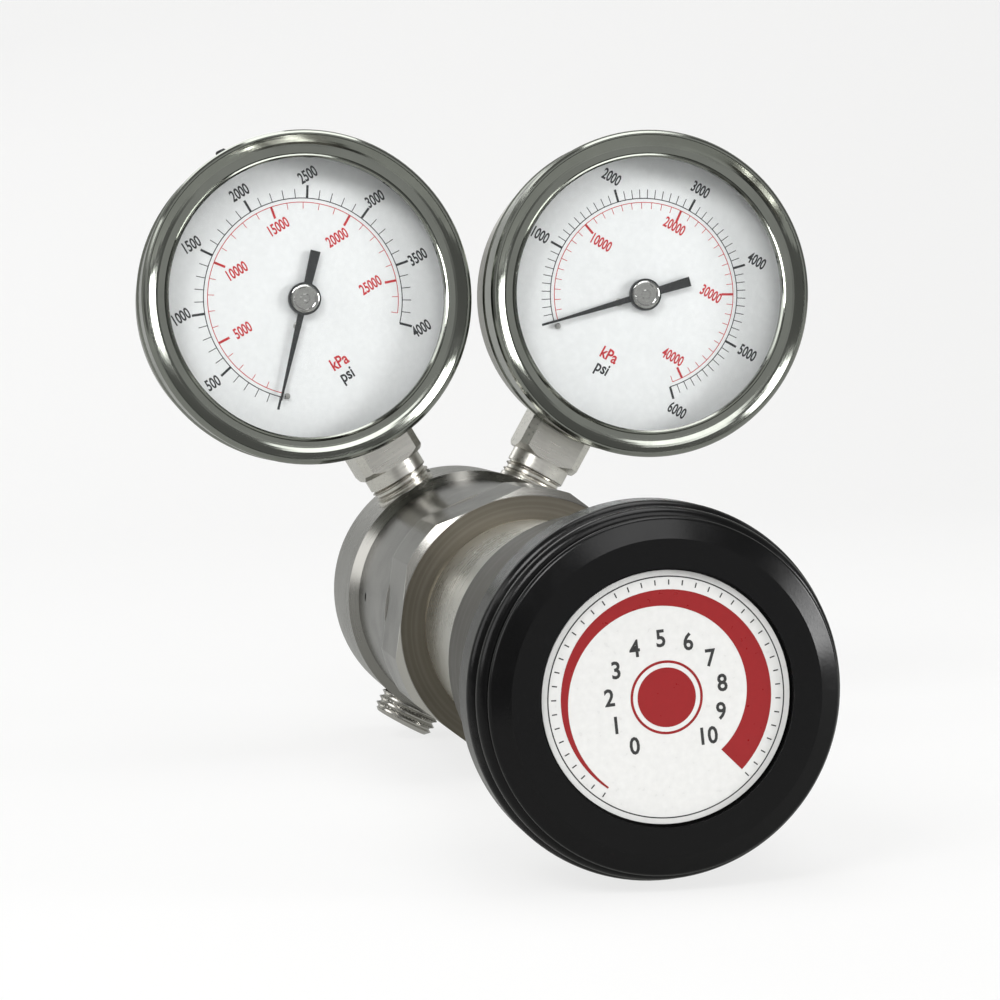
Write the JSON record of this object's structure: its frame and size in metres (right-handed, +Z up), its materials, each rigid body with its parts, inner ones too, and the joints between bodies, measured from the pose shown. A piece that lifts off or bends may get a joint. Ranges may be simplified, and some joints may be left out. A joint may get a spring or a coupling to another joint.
{
  "type": "piston gas regulator",
  "caption": "Gas pressure regulator with a round steel body, hexagonal bonnet, long spring sleeve, black hand knob and round dial gauges on angled stems.",
  "frame": {"origin": "centre of the flat rear face of the body", "axes": "-Y along the regulator's axis towards the knob's face, +Z up between the gauges, +X to the right seen from the knob"},
  "size_m": [0.1414, 0.1889, 0.1289],
  "materials": {
    "body_steel": "turned stainless steel, smooth",
    "bonnet_steel": "turned and milled stainless steel",
    "skirt_steel": "turned steel, darker satin",
    "gauge_steel": "milled stainless steel",
    "case_steel": "drawn stainless steel, satin",
    "bezel_steel": "polished stainless steel",
    "small_steel": "turned stainless steel",
    "spring_seat_steel": "phosphated steel",
    "spring_steel": "spring steel wire",
    "ball_steel": "ground and polished ball",
    "bushing_brass": "turned brass",
    "movement_brass": "stamped and cut brass",
    "tube_bronze": "drawn tube",
    "filter_bronze": "sintered metal, porous",
    "knob_black": "black, fine matte with worn edges",
    "label_white": "printed film under gloss",
    "dial_white": "printed matte white",
    "pointer_black": "matte black paint",
    "window_glass": "clear",
    "black_rubber": "moulded",
    "seal_polymer": "machined polymer"
  },
  "bodies": {
    "regulator": {"regulator_body": "body_steel", "bonnet": "bonnet_steel", "bonnet_seal": "black_rubber", "inlet_filter": "filter_bronze", "valve_spring": "spring_steel", "valve_seat": "seal_polymer", "seat_retainer": "small_steel", "load_spring": "spring_steel", "screw_bushing": "bushing_brass", "outlet_nipple": "gauge_steel", "left_socket": "gauge_steel", "left_case": "case_steel", "left_bezel": "bezel_steel", "left_window": "window_glass", "left_gasket": "black_rubber", "left_dial": "dial_white", "left_hairspring": "movement_brass", "left_bourdon_tube": "tube_bronze", "left_back_plate": "movement_brass", "left_front_plate": "movement_brass", "left_movement_screws": "small_steel", "left_case_plug": "black_rubber", "right_socket": "gauge_steel", "right_case": "case_steel", "right_bezel": "bezel_steel", "right_window": "window_glass", "right_gasket": "black_rubber", "right_dial": "dial_white", "right_hairspring": "movement_brass", "right_bourdon_tube": "tube_bronze", "right_back_plate": "movement_brass", "right_front_plate": "movement_brass", "right_movement_screws": "small_steel", "right_case_plug": "black_rubber"},
    "knob": {"adjusting_screw": "small_steel", "knob_skirt": "skirt_steel", "knob_nut": "small_steel", "knob": "knob_black", "knob_screws": "small_steel", "knob_label": "label_white"},
    "spring_drive": {"upper_spring_button": "spring_seat_steel", "thrust_ball": "ball_steel"},
    "piston": {"piston": "small_steel", "piston_seal": "black_rubber", "piston_backup_ring": "seal_polymer", "lower_spring_seat": "spring_seat_steel"},
    "valve": {"poppet": "small_steel"},
    "left_pointer": {"left_pointer": "pointer_black", "left_arbor": "movement_brass"},
    "left_sector": {"left_sector": "movement_brass"},
    "left_link": {"left_link": "movement_brass"},
    "right_pointer": {"right_pointer": "pointer_black", "right_arbor": "movement_brass"},
    "right_sector": {"right_sector": "movement_brass"},
    "right_link": {"right_link": "movement_brass"}
  },
  "joints": [
    {"name": "screw_advance", "type": "slide", "parent": "regulator", "child": "spring_drive", "axis": [0, 1, 0], "range_m": [0, 0.02], "deforming": ["load_spring"]},
    {"name": "knob_turn", "type": "hinge", "parent": "spring_drive", "child": "knob", "pos_m": [0, 0, 0], "axis": [0, 1, 0], "range_deg": [0, 3600]},
    {"name": "piston_stroke", "type": "slide", "parent": "regulator", "child": "piston", "axis": [0, 1, 0], "range_m": [0, 0.0012]},
    {"name": "valve_lift", "type": "slide", "parent": "regulator", "child": "valve", "axis": [0, 1, 0], "range_m": [0, 0.0012], "stiffness_N_per_m": 2000, "deforming": ["valve_spring"]},
    {"name": "left_pointer_turn", "type": "hinge", "parent": "regulator", "child": "left_pointer", "pos_m": [-0.03596, -0.03276, 0.06434], "axis": [-0.0634, 0.9973, -0.0366], "range_deg": [0, 270], "stiffness_Nm_per_rad": 0.0005, "deforming": ["left_hairspring"]},
    {"name": "left_sector_swing", "type": "hinge", "parent": "regulator", "child": "left_sector", "pos_m": [-0.02688, -0.02468, 0.04741], "axis": [-0.0634, 0.9973, -0.0366], "range_deg": [-38.57, 0]},
    {"name": "left_link_travel", "type": "slide", "parent": "regulator", "child": "left_link", "axis": [-0.5, 0, 0.866], "range_m": [0, 0.00462], "deforming": ["left_bourdon_tube"]},
    {"name": "right_pointer_turn", "type": "hinge", "parent": "regulator", "child": "right_pointer", "pos_m": [0.03677, -0.0328, 0.06387], "axis": [0.006, 1, -0.0035], "range_deg": [0, 270], "stiffness_Nm_per_rad": 0.0005, "deforming": ["right_hairspring"]},
    {"name": "right_sector_swing", "type": "hinge", "parent": "regulator", "child": "right_sector", "pos_m": [0.02721, -0.0247, 0.04722], "axis": [0.006, 1, -0.0035], "range_deg": [-38.57, 0]},
    {"name": "right_link_travel", "type": "slide", "parent": "regulator", "child": "right_link", "axis": [0.5, 0, 0.866], "range_m": [0, 0.00462], "deforming": ["right_bourdon_tube"]}
  ],
  "couplings": [
    {"joint": "screw_advance", "follows": "knob_turn", "m_per_rad": 0.00031831},
    {"joint": "valve_lift", "follows": "piston_stroke", "ratio": 1},
    {"joint": "left_sector_swing", "follows": "left_link_travel", "rad_per_m": -145.59},
    {"joint": "left_pointer_turn", "follows": "left_link_travel", "rad_per_m": 1019.1},
    {"joint": "right_sector_swing", "follows": "right_link_travel", "rad_per_m": -145.59},
    {"joint": "right_pointer_turn", "follows": "right_link_travel", "rad_per_m": 1019.1}
  ]
}
